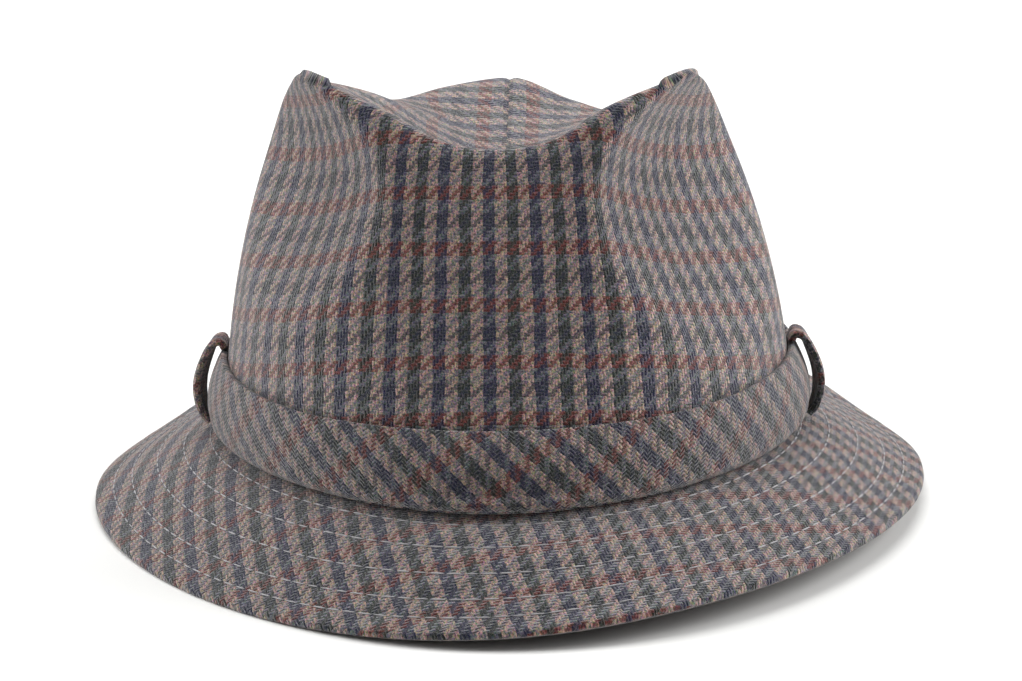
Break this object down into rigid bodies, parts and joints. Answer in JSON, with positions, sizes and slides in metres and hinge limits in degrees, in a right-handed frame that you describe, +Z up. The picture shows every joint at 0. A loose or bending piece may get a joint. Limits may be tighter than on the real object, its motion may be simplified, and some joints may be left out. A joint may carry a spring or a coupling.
{
  "type": "trilby",
  "caption": "Soft trilby of checked wool cloth with a pinched and dented crown, a cloth band run through side loops, and a quilted snap brim.",
  "frame": {"origin": "under the middle of the hat's bounding box, on the surface that the brim rests on", "axes": "+Z up, -Y to the front of the hat, +X to the wearer's left; the hat stands on its brim as it would by itself, the head opening leaning back 2.5 degrees"},
  "size_m": [0.255, 0.2888, 0.1433],
  "materials": {
    "crown_wool": "brushed woven wool, checked in taupe, navy, bottle green and rust, upright to the front",
    "brim_wool": "the same brushed checked wool, quilted with concentric rows of pale stitching",
    "band_wool": "the same brushed checked wool, cut on the bias",
    "loop_wool": "the same brushed checked wool, folded into a strip"
  },
  "bodies": {
    "root": {"crown": "crown_wool", "brim": "brim_wool", "band": "band_wool", "loop_left": "loop_wool", "loop_right": "loop_wool"}
  },
  "joints": []
}
